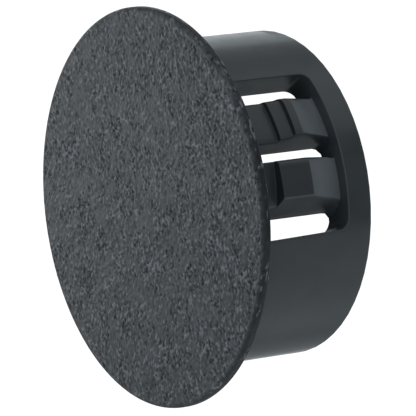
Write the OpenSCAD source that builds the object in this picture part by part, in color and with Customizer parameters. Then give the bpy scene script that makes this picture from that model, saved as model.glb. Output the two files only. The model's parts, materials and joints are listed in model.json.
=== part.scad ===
// Snap-in hole cover for a 25.4 mm cable hole in a desk or panel: a thin round head with a short
// open skirt behind it. Two windows in the skirt hold two sprung snap fingers each.
// Millimetres, +Z up out of the face. The origin is the centre of the head's underside, which is
// the plane of the desk. The windows face -Y and +Y.

/* [Head] */
// Outside diameter of the head
head_d = 30.6; // [29:0.1:34]
// Thickness of the head at its rim
head_rim_t = 0.75; // [0.5:0.05:1.2]
// Rise of the face from its edge to its centre
head_crown = 0.25; // [0.1:0.05:0.6]
// Width of the rounded border between the face and the rim
head_border_w = 0.45; // [0.2:0.05:0.8]
// Depth of the recess in the head's underside that the skirt's top stands in
head_recess = 0.2; // [0.1:0.05:0.3]

/* [Skirt] */
// Outside diameter of the skirt at its rear band, a loose fit in the hole
skirt_d = 25.0; // [24.6:0.1:25.2]
// How much further out the skirt's wall is at the head than at the rear band
skirt_draft = 0.03; // [0.01:0.01:0.06]
// Wall thickness of the skirt
skirt_wall = 2.55; // [2.2:0.05:2.8]
// Depth of the skirt below the head
skirt_depth = 11.15; // [10.6:0.05:14]
// Chamfer on the skirt's rear outer edge
skirt_chamfer = 0.2; // [0.1:0.05:0.4]

/* [Windows] */
// Depth of each window below the head
window_depth = 9; // [8.7:0.05:9.3]
// Turn of the windows' side walls from the window's middle
window_turn = 11.3; // [8:0.1:14]
// Window side, to the right of its own centre plane
window_right = 4.1; // [3.8:0.1:4.6]
// Window side, to the left of its own centre plane
window_left = 7.85; // [7.6:0.05:8.4]
// Radius of the windows' rear corners
window_corner_r = 0.7; // [0.3:0.1:1]

/* [Snap fingers] */
// Thickness of each finger at its root
finger_t = 1.5; // [1.3:0.05:1.6]
// Gap between the free end of each finger and the head
finger_tip_gap = 0.8; // [0.5:0.1:1.2]
// Radius from the plug's axis to the peak of each finger
finger_peak_r = 12.85; // [12.75:0.05:13]
// Clearance around each finger's root knuckle
root_clearance = 0.03; // [0.01:0.01:0.06]

/* [Stepped finger] */
// Right side of the stepped finger
stepped_right = 2.3; // [2:0.1:2.5]
// Left side of the stepped finger
stepped_left = 1.2; // [1:0.1:1.4]
// Radius of its first tread, next to the head
stepped_first_r = 11.8; // [11.6:0.05:12]
// Radius of its second tread where it begins
stepped_second_r = 12.2; // [12.05:0.05:12.3]
// Radius of its second tread where it meets the peak
stepped_third_r = 12.4; // [12.3:0.05:12.5]
// Depth below the head at which the second tread begins
stepped_second_z = 4.25; // [4:0.05:4.8]
// Depth below the head at which the peak begins
stepped_peak_z = 5.35; // [5.1:0.05:5.7]
// Depth below the head at which its ramp begins
stepped_ramp_z = 5.95; // [5.8:0.05:6.5]

/* [Hooked finger] */
// Right side of the hooked finger
hooked_right = 2.8; // [2.6:0.1:3]
// Left side of the hooked finger
hooked_left = 5.8; // [5.4:0.1:6]
// Radius of its low tread, next to the head
hooked_low_r = 12.0; // [11.7:0.05:12.2]
// Depth below the head at which the peak begins
hooked_peak_z = 3.05; // [2.8:0.05:3.6]
// Depth below the head at which its ramp begins
hooked_ramp_z = 5.75; // [5.4:0.05:6.2]

/* [Hidden] */
$fn = 96;
head_r = head_d / 2;
skirt_r = skirt_d / 2;
skirt_top_r = skirt_r + skirt_draft;
bore_r = skirt_r - skirt_wall;
past = 1;
// Direction in which the front window's side walls run, and the one for the back window
front_turn = -90 + window_turn;
back_turn = front_turn + 180;
knuckle_r = finger_t / 2;
root_r = bore_r + knuckle_r;
// Each ramp runs out just inside the top of its finger's round root
root_top_r = bore_r + finger_t - root_clearance;
tip_z = finger_tip_gap;
end_play = 0.1;
crown_steps = 8;
// Turn of a finger's hinge from its window's direction, from the finger's two sides
function hinge_turn(right, left) = asin((right - left) / 2 / root_r);
stepped_hinge = hinge_turn(stepped_right, stepped_left);
hooked_hinge = hinge_turn(-hooked_right, hooked_left);

// The two fingers' outer outlines, as radius and depth below the head, from the tip to the root
stepped_outline = [
    [stepped_first_r, tip_z], [stepped_first_r, stepped_second_z],
    [stepped_second_r, stepped_second_z], [stepped_third_r, stepped_peak_z],
    [finger_peak_r, stepped_peak_z], [finger_peak_r, stepped_ramp_z],
    [root_top_r, window_depth],
];
hooked_outline = [
    [hooked_low_r, tip_z], [hooked_low_r, hooked_peak_z],
    [finger_peak_r, hooked_peak_z], [finger_peak_r, hooked_ramp_z],
    [root_top_r, window_depth],
];

// A disc with a flat ring under it, a rounded border and a slightly crowned face
module head() {
    face_r = head_r - head_border_w;
    border_h = head_rim_t / 2;
    border = [
        for (a = [0 : 15 : 90])
            [face_r + head_border_w * cos(a), border_h + (head_rim_t - border_h) * sin(a)],
    ];
    crown = [
        for (i = [crown_steps - 1 : -1 : 0])
            let (share = i / crown_steps)
                [face_r * share, head_rim_t + head_crown * (1 - share * share)],
    ];
    color([0.29, 0.31, 0.32])
        rotate_extrude()
            polygon(concat(
                [[0, head_recess], [skirt_top_r, head_recess], [skirt_top_r, 0], [head_r, 0]],
                border, crown
            ));
}

// Straight-sided block through the wall, between two planes beside the window's direction
module side_slab(right, left, grow = 0) {
    translate([0, -left - grow, -skirt_depth - past])
        cube([head_r, left + right + 2 * grow, skirt_depth + 2 * past]);
}

// Opening through the skirt's wall, with rounded rear corners
module window() {
    rotate([90, 0, 90])
        linear_extrude(head_r) {
            translate([-window_left, window_corner_r - window_depth])
                square([window_left + window_right, window_depth - window_corner_r]);
            translate([window_corner_r - window_left, -window_depth])
                square([window_left + window_right - 2 * window_corner_r, window_depth]);
            for (x = [window_corner_r - window_left, window_right - window_corner_r])
                translate([x, window_corner_r - window_depth]) circle(r = window_corner_r);
        }
}

// Round root of a finger, across the wall; grow makes the matching socket
module knuckle(right, left, turn, grow = 0, side = 0) {
    intersection() {
        rotate([0, 0, turn])
            translate([root_r, 0, -window_depth])
                rotate([90, 0, 0]) cylinder(r = knuckle_r + grow, h = skirt_d, center = true);
        side_slab(right, left, side);
    }
}

// Sprung finger from its round root up to its free end below the head
module finger(outline, right, left, turn) {
    intersection() {
        rotate_extrude()
            polygon([
                for (p = outline) [p[0], -p[1]],
                [0, -window_depth], [0, -tip_z],
            ]);
        side_slab(right, left);
        rotate([0, 0, turn])
            translate([bore_r, -skirt_r, -skirt_depth]) cube([skirt_wall + past, skirt_d, skirt_depth]);
    }
    knuckle(right, left, turn);
}

module stepped_finger() {
    color([0.24, 0.26, 0.27])
        finger(stepped_outline, stepped_right, stepped_left, stepped_hinge);
}

module hooked_finger() {
    color([0.24, 0.26, 0.27])
        finger(hooked_outline, -hooked_right, hooked_left, hooked_hinge);
}

// Tube below the head, with its two windows and the sockets of the four fingers
module skirt() {
    color([0.24, 0.26, 0.27])
        difference() {
            rotate_extrude()
                polygon([
                    [bore_r, -skirt_depth], [skirt_r - skirt_chamfer, -skirt_depth],
                    [skirt_r, skirt_chamfer - skirt_depth], [skirt_r, -window_depth],
                    [skirt_top_r, head_recess], [bore_r, head_recess],
                ]);
            for (a = [front_turn, back_turn])
                rotate([0, 0, a]) {
                    window();
                    knuckle(stepped_right, stepped_left, stepped_hinge, root_clearance, end_play);
                    knuckle(-hooked_right, hooked_left, hooked_hinge, root_clearance, end_play);
                }
        }
}

module front_stepped_finger() { rotate([0, 0, front_turn]) stepped_finger(); }
module front_hooked_finger() { rotate([0, 0, front_turn]) hooked_finger(); }
module back_stepped_finger() { rotate([0, 0, back_turn]) stepped_finger(); }
module back_hooked_finger() { rotate([0, 0, back_turn]) hooked_finger(); }

head();
skirt();
front_stepped_finger();
front_hooked_finger();
back_stepped_finger();
back_hooked_finger();
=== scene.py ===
"""A black moulded snap-in cable hole cover: fine meshes and moulded-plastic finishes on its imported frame."""
import json
import math

import bmesh
import bpy
import numpy as np
from mathutils import Matrix, Vector


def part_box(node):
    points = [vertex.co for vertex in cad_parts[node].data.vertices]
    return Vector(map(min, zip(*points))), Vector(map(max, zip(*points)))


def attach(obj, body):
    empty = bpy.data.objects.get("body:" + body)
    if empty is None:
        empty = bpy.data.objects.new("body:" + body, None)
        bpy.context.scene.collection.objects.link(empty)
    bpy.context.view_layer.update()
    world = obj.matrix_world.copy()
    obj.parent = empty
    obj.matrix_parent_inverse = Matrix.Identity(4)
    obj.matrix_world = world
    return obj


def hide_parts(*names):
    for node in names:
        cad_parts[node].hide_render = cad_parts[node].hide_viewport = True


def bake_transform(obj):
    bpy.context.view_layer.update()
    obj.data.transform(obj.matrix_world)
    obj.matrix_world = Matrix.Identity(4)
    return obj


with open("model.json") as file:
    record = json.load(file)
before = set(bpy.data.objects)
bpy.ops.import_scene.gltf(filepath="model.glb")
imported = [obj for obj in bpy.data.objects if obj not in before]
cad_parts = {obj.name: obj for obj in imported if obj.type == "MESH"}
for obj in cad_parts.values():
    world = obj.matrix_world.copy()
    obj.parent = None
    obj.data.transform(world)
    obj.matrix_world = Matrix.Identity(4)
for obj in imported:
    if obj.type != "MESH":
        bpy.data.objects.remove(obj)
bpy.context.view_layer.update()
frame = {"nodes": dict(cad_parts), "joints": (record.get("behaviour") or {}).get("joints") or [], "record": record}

MM = 0.001

# Places and sizes that the frame holds, in metres
MOUNTS = {m["name"]: m for m in frame["record"]["mounts"]}
HINGES = {j["child"]: j for j in frame["joints"]}
HEAD_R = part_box("head")[1].x
FACE_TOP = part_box("head")[1].z
SKIRT_R = MOUNTS["hole_pilot"]["dims"]["r_mm"] * MM
SKIRT_TOP_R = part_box("skirt")[1].x
REAR_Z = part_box("skirt")[0].z
WINDOW_Z = HINGES["front_hooked_finger"]["pos_m"][2]

# The front window's side walls and its fingers' sides run this way, seen from above the face
FRONT_TURN = math.radians(11.3 - 90)
BACK_TURN = FRONT_TURN + math.pi
# Thickness of the skirt's wall
WALL = 2.55 * MM
BORE_R = SKIRT_R - WALL
WINDOW_RIGHT = 4.1 * MM
# The window's left side flares outwards, so its edge lies further left on the skirt's outside than inside
WINDOW_LEFT_OUT, WINDOW_LEFT_IN = -8.01 * MM, -7.06 * MM
# How much further left that side is at the head than at the window's rear
WINDOW_LEAN = 0.17 * MM
WINDOW_CORNER = 0.7 * MM


# ---------------------------------------------------------------- outlines and meshes

# A corner's bend is a conic, and with this weight it is close to a circle's arc at a right angle
BEND_WEIGHT = 0.7
# Steps along a bend, and the most of each straight run that a bend may take up
BEND_STEPS, BEND_SHARE = 4, 0.49


def bend(start, corner, end, t):
    """The point at share t of a bend that goes from start to end round a corner."""
    first, middle, last = (1 - t) ** 2, 2 * BEND_WEIGHT * t * (1 - t), t * t
    return (first * start + middle * corner + last * end) / (first + middle + last)


def rounded(points, radii):
    """An open outline with each inner corner turned into a smooth bend of about the given radius."""
    points = [np.array(p, float) for p in points]
    out = [points[0]]
    for before, corner, after, radius in zip(points, points[1:], points[2:], radii):
        length_in, length_out = np.linalg.norm(before - corner), np.linalg.norm(after - corner)
        start = corner + (before - corner) / length_in * min(radius, BEND_SHARE * length_in)
        end = corner + (after - corner) / length_out * min(radius, BEND_SHARE * length_out)
        out += [bend(start, corner, end, i / BEND_STEPS) for i in range(BEND_STEPS + 1)]
    out.append(points[-1])
    return np.array(out)


def strip(faces, row_a, row_b, closed=False):
    """Adds quads between two rows of point numbers of the same length."""
    last = len(row_a) if closed else len(row_a) - 1
    for i in range(last):
        j = (i + 1) % len(row_a)
        faces.append((row_a[i], row_a[j], row_b[j], row_b[i]))


def new_piece(name, vertices, faces, materials, merge=0.0, marks=None):
    """A smooth-shaded object: points closer than merge become one, and marks give each face its material."""
    mesh = bpy.data.meshes.new(name)
    mesh.from_pydata([tuple(v) for v in vertices], [], [tuple(f) for f in faces])
    for material in materials:
        mesh.materials.append(material)
    if marks:
        mesh.polygons.foreach_set("material_index", marks)
    bm = bmesh.new()
    bm.from_mesh(mesh)
    if merge:
        bmesh.ops.remove_doubles(bm, verts=bm.verts, dist=merge)
    bmesh.ops.recalc_face_normals(bm, faces=bm.faces)
    bm.to_mesh(mesh)
    bm.free()
    mesh.polygons.foreach_set("use_smooth", [True] * len(mesh.polygons))
    piece = bpy.data.objects.new(name, mesh)
    bpy.context.scene.collection.objects.link(piece)
    return piece


def point_values(piece, name, values):
    """Gives each of a piece's points a number that its material reads."""
    attribute = piece.data.attributes.new(name, "FLOAT", "POINT")
    attribute.data.foreach_set("value", values)


# ---------------------------------------------------------------- shader building blocks

PLASTIC_IOR = 1.5
# A noise stays about within this range
NOISE_RANGE = 0.3, 0.7


def start_material(name):
    """A Principled material, as its tree and its shader."""
    material = bpy.data.materials.new(name)
    material.use_nodes = True
    tree = material.node_tree
    shader = tree.nodes["Principled BSDF"]
    shader.inputs["IOR"].default_value = PLASTIC_IOR
    return material, tree, shader


def noise(tree, scale, detail, stretch=(1, 1, 1)):
    """Fractal noise over the part's own place, of a scale per metre."""
    place = tree.nodes.new("ShaderNodeTexCoord")
    mapping = tree.nodes.new("ShaderNodeMapping")
    mapping.inputs["Scale"].default_value = stretch
    tree.links.new(place.outputs["Object"], mapping.inputs["Vector"])
    node = tree.nodes.new("ShaderNodeTexNoise")
    node.inputs["Scale"].default_value = scale
    node.inputs["Detail"].default_value = detail
    tree.links.new(mapping.outputs["Vector"], node.inputs["Vector"])
    return node.outputs["Fac"]


def painted(tree, name):
    """The number that each point of a piece was given."""
    node = tree.nodes.new("ShaderNodeAttribute")
    node.attribute_name = name
    return node.outputs["Fac"]


def mapped(tree, value, low, high, start, end):
    """A smooth step of a value, from start at low to end at high."""
    node = tree.nodes.new("ShaderNodeMapRange")
    node.interpolation_type = "SMOOTHSTEP"
    for name, number in (("From Min", low), ("From Max", high), ("To Min", start), ("To Max", end)):
        node.inputs[name].default_value = number
    tree.links.new(value, node.inputs["Value"])
    return node.outputs["Result"]


def blended(tree, factor, start, end):
    """A colour between two, each a colour or the output of a node."""
    node = tree.nodes.new("ShaderNodeMix")
    node.data_type = "RGBA"
    tree.links.new(factor, node.inputs["Factor"])
    for name, colour in (("A", start), ("B", end)):
        if isinstance(colour, tuple):
            node.inputs[name].default_value = colour + (1,)
        else:
            tree.links.new(colour, node.inputs[name])
    return node.outputs["Result"]


def bumped(tree, value, distance, below=None):
    """A normal with a height added to it, on top of another one where given."""
    node = tree.nodes.new("ShaderNodeBump")
    node.inputs["Distance"].default_value = distance
    tree.links.new(value, node.inputs["Height"])
    if below:
        tree.links.new(below, node.inputs["Normal"])
    return node.outputs["Normal"]


# ---------------------------------------------------------------- plastics

# How much the smooth plastic's clouding changes its colour and its roughness, and each cloud's scale
CLOUDING, CLOUD_SCALE = 0.1, 260
HAZE, HAZE_SCALE = 0.04, 700
# Flow marks, drawn out along Z, and a fine tooth over them
FLOW_HEIGHT, FLOW_SCALE, FLOW_STRETCH = 0.004 * MM, 300, (1, 1, 0.08)
TOOTH_HEIGHT, TOOTH_SCALE = 0.002 * MM, 5000
# Where it has this much painted light or more, the plastic keeps only this share of its sheen
DULLED_AT, DULLED_SHEEN = 0.6, 0.3
# The window walls' plastic is a paler copy of the skirt's, which paints light onto their shaded faces
SKIRT_COLOUR, WINDOW_LIT_COLOUR = (0.036, 0.042, 0.045), (0.055, 0.062, 0.067)
# The fingers' paler colour is painted light on their ramps and low sides
FINGER_COLOUR, PAINTED_LIGHT_COLOUR = (0.032, 0.037, 0.040), (0.172, 0.189, 0.202)

# The grain's colours: painted shade in the pits, a painted highlight on the tops and a cloudy ground between; and
# the ranges of its height, from 0 to 1, over which they change
PIT_SHADE_COLOUR, TOP_HIGHLIGHT_COLOUR = (0.006, 0.007, 0.0075), (0.117, 0.127, 0.140)
GROUND_COLOURS, GROUND_SCALE = ((0.0238, 0.027, 0.0305), (0.0405, 0.046, 0.0518)), 420
PIT_TO_GROUND, GROUND_TO_TOP = (0.16, 0.50), (0.54, 0.95)
# Roughness and sheen of the pits and of the tops, and the heights that they reach them at
GRAIN_ROUGHNESS, ROUGHNESS_HEIGHTS = (0.42, 0.30), (0.2, 0.9)
GRAIN_SHEEN, SHEEN_HEIGHTS = (0.25, 0.60), (0.1, 0.5)
# Fine tooth on top of the grain's own relief
GRAIN_TOOTH, GRAIN_TOOTH_SCALE = 0.012 * MM, 4200


def smooth_plastic(name, base, roughness, sheen, painted_light=None):
    """Moulded black nylon: cloudy colour and gloss, flow marks, a fine tooth, and paler places of painted light.
    """
    material, tree, shader = start_material(name)

    def clouded(colour):
        """The colour, a little dimmer or brighter from place to place."""
        dim = tuple((1 - CLOUDING) * c for c in colour)
        bright = tuple((1 + CLOUDING) * c for c in colour)
        cloud = mapped(tree, noise(tree, CLOUD_SCALE, detail=3), *NOISE_RANGE, 0, 1)
        return blended(tree, cloud, dim, bright)

    shader.inputs["Specular IOR Level"].default_value = sheen
    colour = clouded(base)
    # painted light: a paler colour where the points give it, with less sheen
    if painted_light:
        share = painted(tree, "painted_light")
        colour = blended(tree, share, colour, clouded(painted_light))
        dulled = mapped(tree, share, 0.0, DULLED_AT, sheen, DULLED_SHEEN * sheen)
        tree.links.new(dulled, shader.inputs["Specular IOR Level"])
    tree.links.new(colour, shader.inputs["Base Color"])
    haze = mapped(tree, noise(tree, HAZE_SCALE, detail=4), *NOISE_RANGE, roughness - HAZE, roughness + HAZE)
    tree.links.new(haze, shader.inputs["Roughness"])
    flow = bumped(tree, noise(tree, FLOW_SCALE, detail=2, stretch=FLOW_STRETCH), FLOW_HEIGHT)
    tooth = bumped(tree, noise(tree, TOOTH_SCALE, detail=3), TOOTH_HEIGHT, flow)
    tree.links.new(tooth, shader.inputs["Normal"])
    return material


def grained_plastic():
    """Black nylon off a spark-eroded mould: its pits are dull, with painted shade, and its bump tops glossier,
    with a painted highlight.
    """
    material, tree, shader = start_material("grained_plastic")
    height = painted(tree, "grain")
    cloud = mapped(tree, noise(tree, GROUND_SCALE, detail=4), *NOISE_RANGE, 0, 1)
    ground = blended(tree, cloud, *GROUND_COLOURS)
    # pits fall to painted shade and tops rise to a painted highlight
    low = blended(tree, mapped(tree, height, *PIT_TO_GROUND, 0, 1), PIT_SHADE_COLOUR, ground)
    colour = blended(tree, mapped(tree, height, *GROUND_TO_TOP, 0, 1), low, TOP_HIGHLIGHT_COLOUR)
    tree.links.new(colour, shader.inputs["Base Color"])
    roughness = mapped(tree, height, *ROUGHNESS_HEIGHTS, *GRAIN_ROUGHNESS)
    tree.links.new(roughness, shader.inputs["Roughness"])
    sheen = mapped(tree, height, *SHEEN_HEIGHTS, *GRAIN_SHEEN)
    tree.links.new(sheen, shader.inputs["Specular IOR Level"])
    tooth = bumped(tree, noise(tree, GRAIN_TOOTH_SCALE, detail=3), GRAIN_TOOTH)
    tree.links.new(tooth, shader.inputs["Normal"])
    return material


grained = grained_plastic()
smooth = smooth_plastic("skirt_plastic", SKIRT_COLOUR, roughness=0.20, sheen=0.5)
cut_sides = smooth_plastic("window_plastic", WINDOW_LIT_COLOUR, roughness=0.38, sheen=0.45)
sprung = smooth_plastic("finger_plastic", FINGER_COLOUR, roughness=0.33, sheen=0.5, painted_light=PAINTED_LIGHT_COLOUR)


# ---------------------------------------------------------------- the head's grain

GRAIN_SEED = 7
# Side of the square height map, which is wider than the head, and the distance between its points
MAP_SIDE, MAP_STEP = 34 * MM, 0.04 * MM
# Lengths that set the size of the bumps and creases, and of the patches where they are weaker or stronger
GRAIN_BUMP, GRAIN_CREASE, GRAIN_PATCH = 0.31 * MM, 0.42 * MM, 1.5 * MM
# Bumps below this level stay near the plain ground, which leaves separate ones
BUMP_LEVEL = 0.35
# Height of the plain ground's own unevenness, of the separate bumps and of the creases
GROUND_HEIGHT, BUMP_HEIGHT, CREASE_HEIGHT = 0.35, 1.1, 1.3
# A crease is this wide, as a range of its field's heights
CREASE_WIDTH = 0.28
# The patches change the bumps' and the creases' height by this much, and go no further than this
PATCH_ON_BUMPS, PATCH_ON_CREASES, PATCH_LIMIT = 0.5, 0.6, 1.5
# Height of the grain on the part, and how far its face lies inside the part's own outline
GRAIN_DEPTH, GRAIN_SINK = 0.022 * MM, 0.065 * MM
# The material's level between 0 and 1 for a height of 0, and its rise for a height of 1
GRAIN_MIDDLE, GRAIN_RISE = 0.5, 0.25


def random_field(rng, count, length):
    """A square of smooth random heights of mean 0 and spread 1, with nothing finer than the length."""
    waves = np.fft.fftfreq(count, MAP_STEP)
    freq = np.hypot(waves[:, None], waves[None, :])
    keep = np.exp(-(freq * length) ** 2)
    field = np.fft.ifft2(np.fft.fft2(rng.standard_normal((count, count))) * keep).real
    return (field - field.mean()) / field.std()


def grain_map():
    """A square height map of a spark-eroded grain: bumps and creases up to about 2 from a ground at 0."""
    rng = np.random.RandomState(GRAIN_SEED)
    count = int(MAP_SIDE / MAP_STEP)
    bumps = random_field(rng, count, GRAIN_BUMP)
    folds = random_field(rng, count, GRAIN_CREASE)
    patches = np.clip(random_field(rng, count, GRAIN_PATCH), -PATCH_LIMIT, PATCH_LIMIT)
    creases = np.exp(-(folds / CREASE_WIDTH) ** 2) * (CREASE_HEIGHT + PATCH_ON_CREASES * patches)
    raised = np.maximum(bumps - BUMP_LEVEL, 0) * (1 + PATCH_ON_BUMPS * patches)
    return GROUND_HEIGHT * bumps + BUMP_HEIGHT * raised - creases


def sample(field, x, y):
    """Height at points in metres from the map's middle, by linear blending."""
    count = field.shape[0]
    u, v = x / MAP_STEP + count / 2, y / MAP_STEP + count / 2
    i, j = np.floor(u).astype(int), np.floor(v).astype(int)
    fu, fv = u - i, v - j
    i0, i1, j0, j1 = i % count, (i + 1) % count, j % count, (j + 1) % count
    return ((field[i0, j0] * (1 - fu) + field[i1, j0] * fu) * (1 - fv)
            + (field[i0, j1] * (1 - fu) + field[i1, j1] * fu) * fv)


def relief(grain):
    """How far the grained surface stands from the part's own outline, always inwards."""
    return np.minimum(GRAIN_DEPTH * grain, GRAIN_SINK) - GRAIN_SINK


# ---------------------------------------------------------------- head

# Thickness of the head at its rim, and width of the rounded border between its face and its rim
RIM_T, BORDER_W = 0.75 * MM, 0.45 * MM
# Depth of the recess in the underside that the skirt's top stands in
HEAD_RECESS = 0.2 * MM
FACE_R = HEAD_R - BORDER_W
FACE_RINGS, QUICK_RINGS = 168, 60
# Directions of the border's rings from straight up, and the number of straight rings on the rim
BORDER_TURNS, RIM_RINGS = np.radians([10, 22, 36, 50, 64, 78, 90]), 5
# Size of the rim's nearly sharp rear edge
RIM_EDGE = 0.06 * MM
# The grain is gone after about this many rings of the border, and after twice as many on its rough side
GRAIN_FADE = 4.5
# The rim's level between the pits at 0 and the bump tops at 1, set low as painted shade, and how uneven it is
RIM_SHADE_LEVEL, RIM_UNEVEN = 0.28, 0.04
# The rim has painted highlights, as bright specks where the grain is above this level, and they rise by no more
# than this
SPECK_LEVEL, SPECK_RANGE = 1.45, 0.62
# How much longer the rim's specks are along it, and how much shorter across it
SPECK_LENGTH, SPECK_SQUEEZE = 2.0, 1.5
# The rim is rougher about this way round, over about this angle, where light falls on it and its painted highlight
# specks begin this much lower
ROUGH_LIT_TURN, ROUGH_LIT_SPAN, LIT_SPECK_DROP = math.radians(-66), math.radians(20), 1.6


def ring_point(ring, i):
    """Number of a point on one of the face's rings, which have six points more each."""
    return 0 if ring == 0 else 1 + 3 * ring * (ring - 1) + i % (6 * ring)


def face_grid(rings):
    """The face's points, as x and y, and its triangles: six equal sectors of rings round the middle."""
    xy, faces = [(0.0, 0.0)], []
    for ring in range(1, rings + 1):
        angles = np.arange(6 * ring) * (2 * math.pi / (6 * ring))
        r = FACE_R * ring / rings
        xy += list(zip(r * np.cos(angles), r * np.sin(angles)))
        for side in range(6):
            for i in range(ring):
                outer = ring_point(ring, side * ring + i)
                next_outer = ring_point(ring, side * ring + i + 1)
                inner = ring_point(ring - 1, side * (ring - 1) + i)
                faces.append((outer, next_outer, inner))
                if i < ring - 1:
                    next_inner = ring_point(ring - 1, side * (ring - 1) + i + 1)
                    faces.append((next_outer, next_inner, inner))
    return np.array(xy), faces


def rim_profile():
    """Radius and height of the rings down the border and the rim, and of the flat ones under the head."""
    half = RIM_T / 2
    outside = [(FACE_R + BORDER_W * math.sin(t), half + half * math.cos(t)) for t in BORDER_TURNS]
    outside += [(HEAD_R, z) for z in np.linspace(half, RIM_EDGE, RIM_RINGS + 1)[1:]]
    outside += [(HEAD_R - RIM_EDGE / 4, RIM_EDGE / 4), (HEAD_R - RIM_EDGE, 0.0)]
    underside = [(HEAD_R - 3 * RIM_EDGE, 0.0), (SKIRT_TOP_R, 0.0), (BORE_R - 5 * RIM_EDGE, 0.0)]
    return outside, underside


def build_head():
    """The disc: a grained face, a border and a rim with fading grain, and a smooth underside."""
    rings = FACE_RINGS
    field = grain_map()
    xy, faces = face_grid(rings)
    grain = sample(field, xy[:, 0], xy[:, 1])
    crown = FACE_TOP - RIM_T
    z = RIM_T + crown * (1 - (np.hypot(xy[:, 0], xy[:, 1]) / FACE_R) ** 2)
    vertices = [np.column_stack([xy, z + relief(grain)])]
    levels = [GRAIN_MIDDLE + GRAIN_RISE * grain]

    count = 6 * rings
    angles = np.arange(count) * (2 * math.pi / count)
    turn = np.column_stack([np.cos(angles), np.sin(angles)])
    apart = (angles - ROUGH_LIT_TURN + math.pi) % (2 * math.pi) - math.pi
    rough_and_lit = np.exp(-(apart / ROUGH_LIT_SPAN) ** 2)
    previous = [ring_point(rings, i) for i in range(count)]
    base = len(xy)
    outside, underside = rim_profile()
    for step, (radius, height) in enumerate(outside + underside):
        ring = turn * radius
        grain = sample(field, ring[:, 0], ring[:, 1])
        # the grain fades round the border, and leaves a rim with painted shade and a few painted highlight specks
        fade = np.maximum(0.0, 1 - (step + 1) / (GRAIN_FADE * (1 + rough_and_lit)))
        vertices.append(np.column_stack([ring, height + relief(grain) * fade]))
        along, across = HEAD_R * (angles - math.pi) / SPECK_LENGTH, SPECK_SQUEEZE * height
        specks = sample(field, along, np.full(count, across))
        raised = np.clip(specks - SPECK_LEVEL + LIT_SPECK_DROP * rough_and_lit, 0, SPECK_RANGE)
        rim = RIM_SHADE_LEVEL + RIM_UNEVEN * specks + raised
        levels.append(fade * (GRAIN_MIDDLE + GRAIN_RISE * grain) + (1 - fade) * rim)
        row = list(range(base, base + count))
        strip(faces, previous, row, closed=True)
        previous, base = row, base + count
    # the last ring closes on the middle of the recess
    vertices.append(np.array([[0, 0, HEAD_RECESS]]))
    levels.append(np.array([RIM_SHADE_LEVEL]))
    for i in range(count):
        faces.append((previous[i], previous[(i + 1) % count], base))

    under = (len(underside) + 1) * count
    marks = [0] * (len(faces) - under) + [1] * under
    piece = new_piece("head_disc", np.vstack(vertices), faces, [grained, smooth], marks=marks)
    point_values(piece, "grain", np.clip(np.concatenate(levels), 0, 1))
    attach(piece, "plug")
    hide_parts("head")


# ---------------------------------------------------------------- skirt

# Roundings of the windows' outer and inner edges, and of the rear rim's outer and inner edges
EDGE_OUT, EDGE_IN = 0.10 * MM, 0.03 * MM
REAR_OUT, REAR_IN = 0.17 * MM, 0.15 * MM
# The rear rim's flat ring begins this many roundings in from each of its edges
REAR_FLAT = 1.5
# The skirt's top stands this far into the head
LET_IN = 0.1 * MM
# Points down a side of the window, round each of its corners and along its rear
SIDE_STEPS, ARC_STEPS, BACK_STEPS = 14, 7, 24
# Rows from the window's edge to the half's own edge, how their distances grow, and the first row's share
WALL_ROWS, WALL_SPREAD, FIRST_ROW = 26, 1.6, 0.006
# More points than a window's side has go down each side of the half
EXTRA_STEPS = 3
# Steps round a window's edge, shares of the wall's thickness between its edges, and steps round the rear rim
EDGE_TURNS = np.radians([22.5, 45, 67.5, 90])
WALL_SHARES = 0.08, 0.25, 0.5, 0.75, 0.92
REAR_OUT_TURNS, REAR_IN_TURNS = np.radians([18, 36, 54, 72, 90]), np.radians([0, 30, 60])
# Points closer than this, where the two halves meet, are one point
SEAM = 0.0001 * MM


def window_outline(left, grow):
    """The window's edge from the top of its left side, round its rear, to the top of its right side."""
    left, right = left - grow, WINDOW_RIGHT + grow
    rear, corner = WINDOW_Z - grow, WINDOW_CORNER + grow
    down = np.linspace(0, 1, SIDE_STEPS)
    turns = np.linspace(0, math.pi / 2, ARC_STEPS)[:-1]
    points = [(left - WINDOW_LEAN * (1 - t), LET_IN + (rear + corner - LET_IN) * t) for t in down[:-1]]
    points += [(left + corner * (1 - math.cos(t)), rear + corner * (1 - math.sin(t))) for t in turns]
    points += [(left + corner + (right - left - 2 * corner) * t, rear)
               for t in np.linspace(0, 1, BACK_STEPS)[:-1]]
    points += [(right - corner * (1 - math.sin(t)), rear + corner * (1 - math.cos(t))) for t in turns]
    points += [(right, rear + corner + (LET_IN - rear - corner) * t) for t in down]
    return np.array(points)


def outer_radius(z):
    """Radius of the skirt's outside, which is slightly wider at the head than at the windows' rear."""
    return SKIRT_R + (SKIRT_TOP_R - SKIRT_R) * np.clip((z - WINDOW_Z) / (0 - WINDOW_Z), 0, 1)


def bore_radius(z):
    """Radius of the skirt's inside."""
    return np.full_like(z, BORE_R)


def half_outline(count, low):
    """Angles and heights round the edge of the skirt's front half, and which of them are its rear edge."""
    middle, half = -math.pi / 2, math.pi / 2
    side = SIDE_STEPS + EXTRA_STEPS
    angles, heights = np.empty(count), np.empty(count)
    down = np.linspace(0, 1, side)
    angles[:side], heights[:side] = middle - half, LET_IN + (low - LET_IN) * down
    angles[-side:], heights[-side:] = middle + half, low + (LET_IN - low) * down
    between = count - 2 * side
    share = np.arange(1, between + 1) / (between + 1)
    angles[side:-side], heights[side:-side] = middle + half * (2 * share - 1), low
    return angles, heights, slice(side - 1, count - side + 1)


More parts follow.
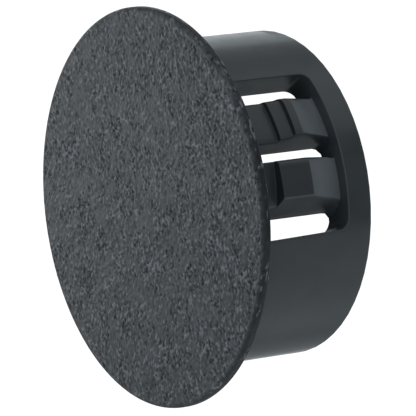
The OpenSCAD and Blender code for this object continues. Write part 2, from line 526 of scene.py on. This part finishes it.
def build_skirt():
    """Half the skirt is a grid that spreads from the window's edge; the other half is its turn."""
    vertices, faces = [], []

    def add_row(angles, heights, radii):
        """Adds points given round the axis, and returns their numbers."""
        start = len(vertices)
        vertices.extend((r * math.cos(a), r * math.sin(a), z) for a, z, r in zip(angles, heights, radii))
        return list(range(start, len(vertices)))

    def add_wall(radius, left, edge, rear_edge):
        """One surface of the wall: its rows of points, then the angles and the points of its rear edge."""
        window = window_outline(left, edge)
        heights = window[:, 1]
        angles = FRONT_TURN + np.arcsin(window[:, 0] / radius(heights))
        far_angles, far_heights, rear = half_outline(len(window), REAR_Z + rear_edge)
        rows = []
        for k in range(WALL_ROWS + 1):
            # the row next to the window's edge stays close to it, so that its shading is clean
            t = FIRST_ROW if k == 1 else (k / WALL_ROWS) ** WALL_SPREAD
            z = heights + (far_heights - heights) * t
            rows.append(add_row(angles + (far_angles - angles) * t, z, radius(z)))
        for row_a, row_b in zip(rows, rows[1:]):
            strip(faces, row_a, row_b)
        return rows, far_angles[rear], rows[-1][rear]

    def add_window_row(depth, beyond):
        """A row at a depth into the wall, this far beyond the window's outline."""
        share = depth / WALL
        inside, outside = window_outline(WINDOW_LEFT_IN, beyond), window_outline(WINDOW_LEFT_OUT, beyond)
        place = outside + (inside - outside) * share
        radius = outer_radius(place[:, 1]) * (1 - share) + BORE_R * share
        return add_row(FRONT_TURN + np.arcsin(place[:, 0] / radius), place[:, 1], radius)

    outer_rows, rear_angles, outer_rear = add_wall(outer_radius, WINDOW_LEFT_OUT, EDGE_OUT, REAR_OUT)
    inner_rows, _, inner_rear = add_wall(bore_radius, WINDOW_LEFT_IN, EDGE_IN, REAR_IN)

    # the window's sides: a rounded outer edge, the flat wall, and a small inner rounding
    first_side = len(faces)
    steps = [(EDGE_OUT * (1 - math.cos(t)), EDGE_OUT * (1 - math.sin(t))) for t in EDGE_TURNS]
    steps += [(WALL * share, 0.0) for share in WALL_SHARES]
    steps += [(WALL - EDGE_IN * (1 - math.cos(t)), EDGE_IN * (1 - math.sin(t))) for t in EDGE_TURNS[::-1]]
    previous = outer_rows[0]
    for depth, beyond in steps:
        row = add_window_row(depth, beyond)
        strip(faces, previous, row)
        previous = row
    strip(faces, previous, inner_rows[0])
    last_side = len(faces)

    # the rear rim: outer rounding, flat ring, inner rounding
    profile = [(SKIRT_R - REAR_OUT * (1 - math.cos(t)), REAR_Z + REAR_OUT * (1 - math.sin(t)))
               for t in REAR_OUT_TURNS]
    profile += [(SKIRT_R - REAR_FLAT * REAR_OUT, REAR_Z), (BORE_R + REAR_FLAT * REAR_IN, REAR_Z)]
    profile += [(BORE_R + REAR_IN * (1 - math.sin(t)), REAR_Z + REAR_IN * (1 - math.cos(t)))
                for t in REAR_IN_TURNS]
    previous = outer_rear
    for radius, z in profile:
        count = len(rear_angles)
        row = add_row(rear_angles, np.full(count, z), np.full(count, radius))
        strip(faces, previous, row)
        previous = row
    strip(faces, previous, inner_rear)

    # the top edge, let into the head
    for end in (0, -1):
        strip(faces, [row[end] for row in outer_rows], [row[end] for row in inner_rows])

    # the window's sides take the paler plastic, painted light on their shaded faces
    marks = [1 if first_side <= i < last_side else 0 for i in range(len(faces))]
    half_turned = [(-x, -y, z) for x, y, z in vertices]
    shift = len(vertices)
    faces += [tuple(i + shift for i in f) for f in faces]
    piece = new_piece("skirt_shell", vertices + half_turned, faces, [smooth, cut_sides], SEAM, marks + marks)
    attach(piece, "plug")
    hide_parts("skirt")


# ---------------------------------------------------------------- snap fingers

# Depth below the head and radius along each finger's back, from its tip to its root, in millimetres; a
# radius of None is the peak's
TREADS = {
    "stepped": [(4.25, 11.8), (4.25, 12.2), (5.28, 12.4), (5.28, None), (5.95, None)],
    "hooked": [(3.05, 12.0), (3.05, None), (5.75, None)],
}
# Radius of the back where the ramp meets the skirt's rear band, and how far the finger goes on inside it
ROOT_TOP_R, BURIED = 11.5 * MM, 0.5 * MM
# Roundings of a tread's edges, and of the bend where the ramp ends
TREAD_BEND, RAMP_BEND = 0.07 * MM, 0.08 * MM
# Most distance between rows along the back, and least one between rows of the inside
ROW_STEP, ROW_HAIR = 0.35 * MM, 0.002 * MM
# A finger's inside lies this far behind the skirt's, so that they don't share a surface at its root
LET_BACK = 0.01 * MM
# How far the inner edges of a finger's low and high sides spread at its root, and the back's share of it
FLARES = {"stepped": (0.80 * MM, 0.32 * MM), "hooked": (0.64 * MM, 0.32 * MM)}
BACK_FLARE = 0.6
# How far a finger's low side spreads from its peak to its inside
LOW_DRAFTS = {"stepped": 0.12 * MM, "hooked": 0.07 * MM}
# How much higher the low tread stands at its high side than at its middle
LEANS = {"stepped": 0.0, "hooked": 0.25 * MM}
# Radius down to which the edge of a finger's high side is rounded off, which makes it wider on high treads
HIGH_EDGE_R = {"stepped": 11.20 * MM, "hooked": 11.75 * MM}
# Least rounding of that edge, and its width for each unit of its depth
HIGH_EDGE, HIGH_EDGE_WIDTH = 0.09 * MM, 0.5
# Width and depth of the rounding of the low side's edge, and the rounding of the inside's edges
LOW_EDGE_W, LOW_EDGE_D = 0.12 * MM, 0.10 * MM
INNER_EDGE = 0.1 * MM
# Drop and shrinkage of the two small rings that round the tip's edge
TIP_RINGS = (0.0, 0.10 * MM), (0.03 * MM, 0.03 * MM)
# Points across a finger, steps round its corners, and points down its sides
CROSSING, CORNER_STEPS, SIDE_POINTS = 9, 4, 5
# How much light is painted on each finger's low side, and on its ramp next to the peak, where its root is at 1
SIDE_PAINTED_LIGHT = {"stepped": 0.10, "hooked": 0.30}
RAMP_PAINTED_LIGHT, RAMP_PAINTED_LIGHT_RISE = 0.35, 1.5
# Lengths and shares smaller than these count as nothing
SLACK, SLIGHT = 0.01 * MM, 0.001


def cad_points(node):
    """A CAD node's points, as rows of x, y and z."""
    return np.array([v.co for v in frame["nodes"][node].data.vertices])


PEAK_R = np.hypot(*cad_points("front_hooked_finger")[:, :2].T).max()
TIP_Z = cad_points("front_hooked_finger")[:, 2].max()


def finger_back(kind):
    """The back's rows of height and radius, from the tip to inside the skirt."""
    treads = [(-d * MM, PEAK_R if r is None else r * MM) for d, r in TREADS[kind]]
    corners = [(TIP_Z, treads[0][1])] + treads + [(WINDOW_Z, ROOT_TOP_R), (WINDOW_Z - BURIED, ROOT_TOP_R)]
    back = rounded(corners, [TREAD_BEND] * len(treads) + [RAMP_BEND])
    # extra rows keep long flat runs even
    rows = [back[0]]
    for a, b in zip(back, back[1:]):
        pieces = max(1, int(math.ceil(abs(b[0] - a[0]) / ROW_STEP)))
        rows += [a + (b - a) * (i + 1) / pieces for i in range(pieces)]
    return np.array(rows)


def flared(z, flare):
    """How far a quarter-round flare of a side has gone out at a height."""
    reach = flare * min(1.0, max(0.0, 1 - (z - WINDOW_Z) / flare))
    return flare - math.sqrt(max(flare ** 2 - reach ** 2, 0.0))


def finger_ring(kind, sides, turn, z_out, r_out, z_in, shrink=0.0):
    """One ring: across the back, down the low side, across the inside, up the high side."""
    deep_b = max(HIGH_EDGE, r_out - HIGH_EDGE_R[kind])
    soft_b = max(HIGH_EDGE, HIGH_EDGE_WIDTH * (r_out - HIGH_EDGE_R[kind]))
    drafted = LOW_DRAFTS[kind] * (PEAK_R - r_out) / (PEAK_R - BORE_R)
    flare_a, flare_b = FLARES[kind]
    low, high = sides[0] + shrink, sides[1] - shrink
    a, b = low - drafted, high + flared(z_out, BACK_FLARE * flare_b)
    a_in = low - LOW_DRAFTS[kind] - flared(z_in, flare_a)
    b_in = high + flared(z_in, flare_b)
    r_out, r_in = r_out - shrink, BORE_R + LET_BACK + shrink
    first_depth, first_r = TREADS[kind][0]
    lean = 0.0
    if z_out > -first_depth * MM - SLACK:
        lean = LEANS[kind] * min(1.0, max(0.0, (PEAK_R - r_out) / (PEAK_R - first_r * MM)))
    points = []

    def place(spot, z):
        """Adds a point, given outwards along the window's direction and across it."""
        radial, across = spot
        x = radial * math.cos(turn) - across * math.sin(turn)
        y = radial * math.sin(turn) + across * math.cos(turn)
        points.append((x, y, z))

    def outer(across, deeper=0.0):
        """The place on the back's outline, or deeper than it."""
        radius = r_out + lean * (2 * (across - a) / (b - a) - 1)
        return np.array([math.sqrt(radius * radius - across * across) - deeper, across])

    def inner(across, higher=0.0):
        """The place on the inside's outline, or higher than it."""
        return np.array([math.sqrt(r_in * r_in - across * across) + higher, across])

    def corner(start, middle, end, z):
        """Adds the points of a rounded corner, without its ends."""
        for i in range(1, CORNER_STEPS):
            place(bend(start, middle, end, i / CORNER_STEPS), z)

    def side(start, end, z0, z1):
        """Adds the points of a straight side, with its ends."""
        for t in np.linspace(0, 1, SIDE_POINTS):
            place(start + (end - start) * t, z0 + (z1 - z0) * t)

    for across in np.linspace(b - soft_b, a + LOW_EDGE_W, CROSSING):
        place(outer(across), z_out)
    top, foot = outer(a, deeper=LOW_EDGE_D), inner(a_in, higher=INNER_EDGE)
    corner(outer(a + LOW_EDGE_W), outer(a), top, z_out)
    side(top, foot, z_out, z_in)
    corner(foot, inner(a_in), inner(a_in + INNER_EDGE), z_in)
    for across in np.linspace(a_in + INNER_EDGE, b_in - INNER_EDGE, CROSSING):
        place(inner(across), z_in)
    top, foot = outer(b, deeper=deep_b), inner(b_in, higher=INNER_EDGE)
    corner(inner(b_in - INNER_EDGE), inner(b_in), foot, z_in)
    side(foot, top, z_in, z_out)
    corner(top, outer(b), outer(b - soft_b), z_out)
    return points


def finger_sides(node, turn):
    """The lowest and the highest place of a CAD finger across its window's direction."""
    points = cad_points(node)
    across = points[:, 1] * math.cos(turn) - points[:, 0] * math.sin(turn)
    return across.min(), across.max()


def build_finger(node, kind, turn):
    """A loft of four-sided rings with rounded corners, from the tip to inside the skirt's rear band."""
    sides = finger_sides(node, turn)
    rows = finger_back(kind)
    # the inside's rows follow the back's, with a hair between those of a riser
    drops = np.maximum(-np.diff(rows[:, 0]), ROW_HAIR)
    inner_z = TIP_Z - np.cumsum(drops)
    rings = [finger_ring(kind, sides, turn, TIP_Z - drop, rows[0][1], TIP_Z - drop, shrink)
             for drop, shrink in TIP_RINGS]
    rings += [finger_ring(kind, sides, turn, z, r, z_in) for (z, r), z_in in zip(rows[1:], inner_z)]

    # the ramp has painted light, and more so towards its root, where it makes up for the shade of the window's
    # rear wall
    ramp_z = -TREADS[kind][-1][0] * MM
    ring_light = [0.0] * len(TIP_RINGS)
    for t in (rows[1:, 0] - ramp_z) / (WINDOW_Z - ramp_z):
        ring_light.append(RAMP_PAINTED_LIGHT + (1 - RAMP_PAINTED_LIGHT) * min(t, 1.0) ** RAMP_PAINTED_LIGHT_RISE if t > SLIGHT else 0.0)

    vertices, faces, painted_light, rows_of_points = [], [], [], []
    beside = SIDE_POINTS + 2 * (CORNER_STEPS - 1)
    for points, lit_share in zip(rings, ring_light):
        rows_of_points.append(list(range(len(vertices), len(vertices) + len(points))))
        vertices += points
        # the low side gets painted light as well
        painted_light += [lit_share] * CROSSING + [SIDE_PAINTED_LIGHT[kind]] * beside
        painted_light += [0.0] * (len(points) - CROSSING - beside)
    for row_a, row_b in zip(rows_of_points, rows_of_points[1:]):
        strip(faces, row_a, row_b, closed=True)
    faces += [tuple(rows_of_points[0]), tuple(rows_of_points[-1])]

    piece = new_piece(node + "_moulding", vertices, faces, [sprung])
    point_values(piece, "painted_light", painted_light)
    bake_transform(piece)
    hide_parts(node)


# ---------------------------------------------------------------- camera

# The camera stands this far round from -Y and above the face, and is turned on its own axis
VIEW_TURN = math.radians(-12.7)
VIEW_RISE = math.radians(33.28)
VIEW_ROLL = math.radians(-97.37)
VIEW_DISTANCE = 23.55 * HEAD_R
VIEW_LENS, VIEW_SENSOR = 411.4, 36
VIEW_CLIP = 0.01, 5
# The picture's middle is beside the head's by this share of its radius, and this far above its underside
VIEW_ASIDE, VIEW_ABOVE = 0.2834, 0.49 * MM


def view_axes():
    """The camera's right, up and backward directions."""
    flat = math.cos(VIEW_RISE)
    back = Vector((math.sin(VIEW_TURN) * flat, -math.cos(VIEW_TURN) * flat, math.sin(VIEW_RISE)))
    level = Vector((0, 0, 1)).cross(back).normalized()
    upward = back.cross(level)
    right = level * math.cos(VIEW_ROLL) + upward * math.sin(VIEW_ROLL)
    return right, back.cross(right), back


def build_camera():
    """The camera at the photograph's viewing angle."""
    right, up, back = view_axes()
    data = bpy.data.cameras.new("view")
    data.sensor_width = VIEW_SENSOR
    data.lens = VIEW_LENS
    data.clip_start, data.clip_end = VIEW_CLIP
    camera = bpy.data.objects.new("view", data)
    place = Vector((0, 0, VIEW_ABOVE)) + right * VIEW_ASIDE * HEAD_R + back * VIEW_DISTANCE
    camera.matrix_world = Matrix((
        (right.x, up.x, back.x, place.x), (right.y, up.y, back.y, place.y),
        (right.z, up.z, back.z, place.z), (0, 0, 0, 1)))
    bpy.context.scene.collection.objects.link(camera)
    bpy.context.scene.camera = camera


# ---------------------------------------------------------------- floor, studio and light

# Height of the floor, well below the part, and half the length of its sides, in metres
FLOOR_Z, FLOOR_HALF = REAR_Z - 0.09, 3.0
# How bright the camera sees the ground and the background
WHITE = 1.1
# How bright the parts of the studio are on the part, and the tint of their light
BACKDROP, OVERHEAD, ROOM, GAP, LOW, DARK = 0.76, 0.66, 0.58, 0.34, 0.28, 0.21
STUDIO_TINT = (0.92, 1.0, 1.04, 1)
# Ranges over which a part of the studio fades in, as shares of a direction along the camera's own: the
# backdrop and its floor straight behind, their edges by height, and the soft box by height and to the front
BEHIND, FAR_BEHIND, BEFORE = (0.25, 0.5), (0.45, 0.75), (0.1, 0.35)
BACKDROP_FOOT, BACKDROP_HEAD, FLOOR_EDGE, BOX_EDGE = (-0.2, 0.1), (-0.04, 0.04), (-0.35, -0.15), (0.55, 0.8)
# The backdrop ends this far above the line of sight
BACKDROP_TOP = math.radians(40)
# The open side, as shares of the camera's right, up and backward directions, and its two half widths
OPENING = (0.91, 0.16, 0.40)
OPENING_CORE, OPENING_WIDE = math.radians(20), math.radians(34)
# The key light's direction in the same way, its distance and size in metres, and its power
KEY_PLACE = (-0.83, 0.02, -0.35)
KEY_DISTANCE, KEY_SIZE, KEY_WATTS = 0.09, 0.04, 0.0024


def from_camera(shares):
    """A direction given by shares of the camera's right, up and backward directions."""
    right, up, back = view_axes()
    return (right * shares[0] + up * shares[1] + back * shares[2]).normalized()


def build_world():
    """A plain studio: a bright backdrop behind the part that ends above it, and a dimmer room in front."""
    _, up, back = view_axes()
    world = bpy.data.worlds.new("studio")
    world.use_nodes = True
    tree = world.node_tree
    tree.nodes.clear()
    sight = tree.nodes.new("ShaderNodeTexCoord")

    def along(direction):
        """How much of the line of sight lies along a direction."""
        node = tree.nodes.new("ShaderNodeVectorMath")
        node.operation = "DOT_PRODUCT"
        node.inputs[1].default_value = direction
        tree.links.new(sight.outputs["Generated"], node.inputs[0])
        return node.outputs["Value"]

    def combined(operation, a, b):
        """The sum or the product of two values."""
        node = tree.nodes.new("ShaderNodeMath")
        node.operation = operation
        tree.links.new(a, node.inputs[0])
        tree.links.new(b, node.inputs[1])
        return node.outputs["Value"]

    # the open side of the studio is dark
    opening = along(from_camera(OPENING))
    strength = mapped(tree, opening, math.cos(OPENING_WIDE), math.cos(OPENING_CORE), ROOM, DARK)
    # the backdrop is straight behind the part, and there is a dimmer gap above its top edge
    behind = mapped(tree, along(-back), *BEHIND, 0.0, 1.0)
    foot = mapped(tree, along(up), *BACKDROP_FOOT, 0.0, 1.0)
    top_edge = up * math.cos(BACKDROP_TOP) + back * math.sin(BACKDROP_TOP)
    backdrop = mapped(tree, along(top_edge), *BACKDROP_HEAD, BACKDROP - ROOM, GAP - ROOM)
    backdrop = combined("MULTIPLY", combined("MULTIPLY", behind, foot), backdrop)
    strength = combined("ADD", backdrop, strength)
    # the floor before the backdrop is dim
    far_behind = mapped(tree, along(-back), *FAR_BEHIND, 0.0, 1.0)
    floor = mapped(tree, along(up), *FLOOR_EDGE, LOW - ROOM, 0.0)
    strength = combined("ADD", strength, combined("MULTIPLY", far_behind, floor))
    # a soft box hangs overhead, in front of the backdrop
    box = mapped(tree, along(up), *BOX_EDGE, 0.0, OVERHEAD - ROOM)
    before = mapped(tree, along(-back), *BEFORE, 1.0, 0.0)
    strength = combined("ADD", strength, combined("MULTIPLY", box, before))

    # the camera sees plain white instead
    fill = tree.nodes.new("ShaderNodeBackground")
    tree.links.new(strength, fill.inputs["Strength"])
    fill.inputs["Color"].default_value = STUDIO_TINT
    seen = tree.nodes.new("ShaderNodeBackground")
    seen.inputs["Strength"].default_value = WHITE
    mix = tree.nodes.new("ShaderNodeMixShader")
    path = tree.nodes.new("ShaderNodeLightPath")
    out = tree.nodes.new("ShaderNodeOutputWorld")
    tree.links.new(path.outputs["Is Camera Ray"], mix.inputs["Fac"])
    tree.links.new(fill.outputs["Background"], mix.inputs[1])
    tree.links.new(seen.outputs["Background"], mix.inputs[2])
    tree.links.new(mix.outputs["Shader"], out.inputs["Surface"])
    bpy.context.scene.world = world


def build_key_light():
    """A square soft light beside the part, that the camera doesn't see."""
    data = bpy.data.lights.new("key", "AREA")
    data.shape, data.size = "SQUARE", KEY_SIZE
    data.energy = KEY_WATTS
    light = bpy.data.objects.new("key", data)
    light.visible_camera = False
    centre = Vector((0, 0, REAR_Z / 2))
    light.location = centre + from_camera(KEY_PLACE) * KEY_DISTANCE
    light.rotation_mode = "QUATERNION"
    light.rotation_quaternion = (centre - light.location).to_track_quat("-Z", "Y")
    bpy.context.scene.collection.objects.link(light)


def floor_material():
    """A pale floor that the camera sees as even and bright, and that can't be seen from below."""
    material = bpy.data.materials.new("pale_floor")
    material.use_nodes = True
    tree = material.node_tree
    tree.nodes.clear()
    out = tree.nodes.new("ShaderNodeOutputMaterial")
    clear = tree.nodes.new("ShaderNodeBsdfTransparent")
    glow = tree.nodes.new("ShaderNodeEmission")
    glow.inputs["Strength"].default_value = WHITE
    side = tree.nodes.new("ShaderNodeNewGeometry")
    mix = tree.nodes.new("ShaderNodeMixShader")
    tree.links.new(side.outputs["Backfacing"], mix.inputs["Fac"])
    tree.links.new(glow.outputs["Emission"], mix.inputs[1])
    tree.links.new(clear.outputs["BSDF"], mix.inputs[2])
    tree.links.new(mix.outputs["Shader"], out.inputs["Surface"])
    return material


def build_floor():
    """A pale floor well below the part, seen by the camera alone."""
    signs = (-1, -1), (1, -1), (1, 1), (-1, 1)
    corners = [(FLOOR_HALF * x, FLOOR_HALF * y, FLOOR_Z) for x, y in signs]
    floor = new_piece("floor", corners, [(0, 1, 2, 3)], [floor_material()])
    floor.visible_shadow = floor.visible_diffuse = floor.visible_glossy = False


build_head()
build_skirt()
for window, turn in (("front", FRONT_TURN), ("back", BACK_TURN)):
    for kind in TREADS:
        build_finger(f"{window}_{kind}_finger", kind, turn)
build_floor()
build_world()
build_key_light()
build_camera()
bpy.context.scene.view_settings.view_transform = "Standard"
